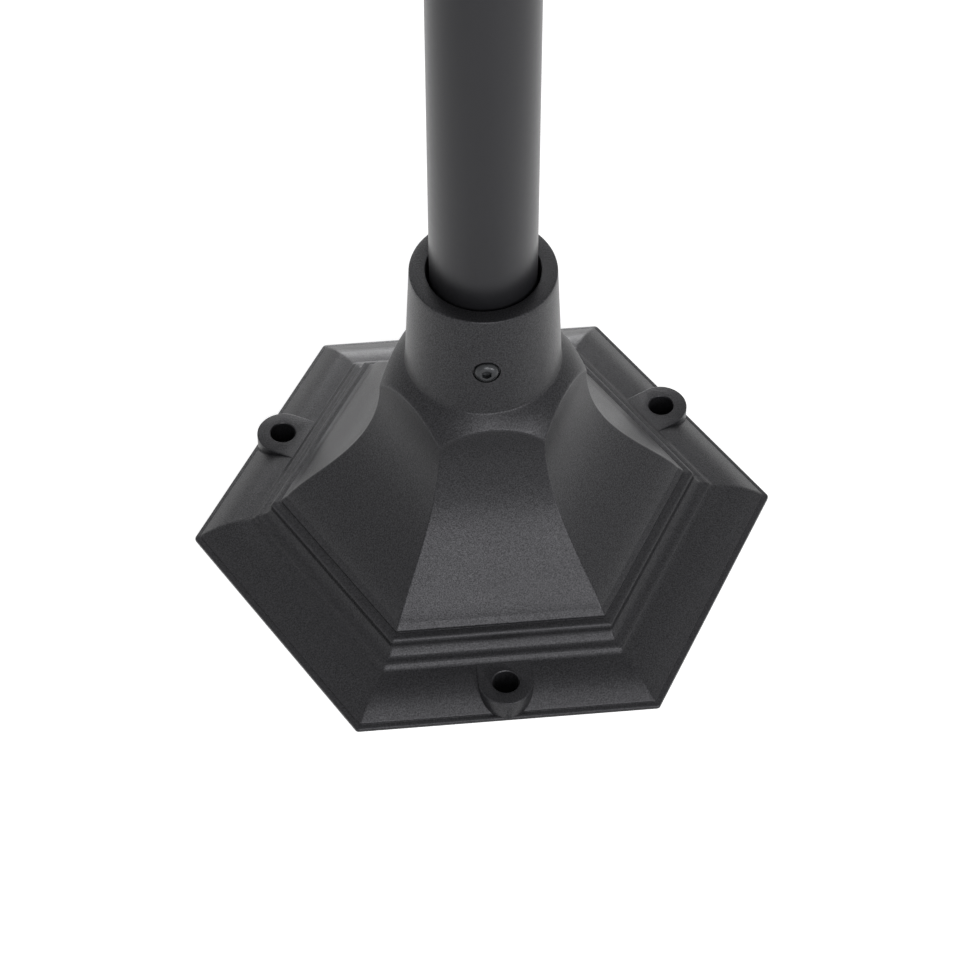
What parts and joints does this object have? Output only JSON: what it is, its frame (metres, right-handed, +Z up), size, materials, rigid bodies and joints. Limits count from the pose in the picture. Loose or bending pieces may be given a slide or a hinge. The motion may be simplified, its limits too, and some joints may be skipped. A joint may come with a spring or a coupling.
{
  "type": "outdoor floor lamp",
  "caption": "Outdoor floor lamp: six-sided cast foot, round mast clamped in its collar, and a glazed six-sided lantern with a hinged vented roof and a screw-in bulb.",
  "frame": {"origin": "centre of the foot, on the ground", "axes": "+Z up along the mast, -Y to the front lug and the thumb screw, +X to a corner of the foot"},
  "size_m": [0.356, 0.3084, 1.257],
  "materials": {
    "coated_casting": "fine sand-textured powder coat on cast aluminium, anthracite",
    "coated_tube": "smooth satin powder coat on tube, anthracite",
    "coated_sheet": "satin powder coat on folded sheet, anthracite",
    "black_steel": "blackened steel",
    "stainless_steel": "plain turned stainless steel",
    "zinc_sheet": "zinc-plated sheet",
    "brass": "turned",
    "pane_glass": "clear float glass",
    "bulb_glass": "clear blown glass",
    "bulb_cap": "pressed nickel-plated cap",
    "filament": "yellow phosphor",
    "porcelain": "glazed porcelain",
    "cream_moulding": "moulded",
    "black_moulding": "moulded",
    "lead_sheath": "extruded sheath",
    "gasket_rubber": "moulded"
  },
  "bodies": {
    "foot": {"base_casting": "coated_casting", "earth_screw": "brass"},
    "clamp_front": {"clamp_screw_front": "black_steel"},
    "clamp_right": {"clamp_screw_right": "black_steel"},
    "clamp_left": {"clamp_screw_left": "black_steel"},
    "mast": {"mast_tube": "coated_tube", "mast_plug": "black_moulding", "terminal_block": "cream_moulding", "terminal_screws": "stainless_steel", "mast_lead": "lead_sheath", "lantern_socket": "coated_casting", "socket_screws": "black_steel", "floor_tray": "coated_sheet", "tray_screws": "stainless_steel", "cable_gland": "black_moulding", "gland_nut": "black_moulding", "holder_bracket": "zinc_sheet", "bracket_screws": "stainless_steel", "lamp_holder": "porcelain", "holder_shell": "brass", "holder_contact": "brass", "lantern_cage": "coated_casting", "cage_screws": "stainless_steel", "pane_front": "pane_glass", "pane_front_right": "pane_glass", "pane_back_right": "pane_glass", "pane_back": "pane_glass", "pane_back_left": "pane_glass", "pane_front_left": "pane_glass", "pane_keeper": "coated_sheet", "keeper_screws": "stainless_steel", "hinge_pin": "stainless_steel", "roof_gasket": "gasket_rubber"},
    "roof": {"roof_casting": "coated_casting", "vent_cap": "coated_casting", "finial": "coated_casting", "finial_nut": "stainless_steel"},
    "thumb": {"thumb_screw": "stainless_steel"},
    "bulb": {"bulb_glass": "bulb_glass", "bulb_cap": "bulb_cap", "bulb_stem": "bulb_glass", "bulb_filaments": "filament"}
  },
  "joints": [
    {"name": "mast_turn", "type": "hinge", "parent": "foot", "child": "mast", "pos_m": [0, 0, 0.118], "axis": [0, 0, 1], "range_deg": [-180, 180]},
    {"name": "roof_lift", "type": "hinge", "parent": "mast", "child": "roof", "pos_m": [0, 0.14567, 1.07], "axis": [-1, 0, 0], "range_deg": [0, 105]},
    {"name": "thumb_turn", "type": "hinge", "parent": "roof", "child": "thumb", "pos_m": [0, -0.13597, 1.0725], "axis": [0, -1, 0], "continuous": true},
    {"name": "bulb_out", "type": "slide", "parent": "mast", "child": "bulb", "axis": [0, 0, 1], "range_m": [0, 0.03]},
    {"name": "clamp_front_out", "type": "slide", "parent": "foot", "child": "clamp_front", "axis": [-0.0523, -0.9986, 0], "range_m": [0, 0.006]},
    {"name": "clamp_right_out", "type": "slide", "parent": "foot", "child": "clamp_right", "axis": [0.891, 0.454, 0], "range_m": [0, 0.006]},
    {"name": "clamp_left_out", "type": "slide", "parent": "foot", "child": "clamp_left", "axis": [-0.8387, 0.5446, 0], "range_m": [0, 0.006]}
  ]
}
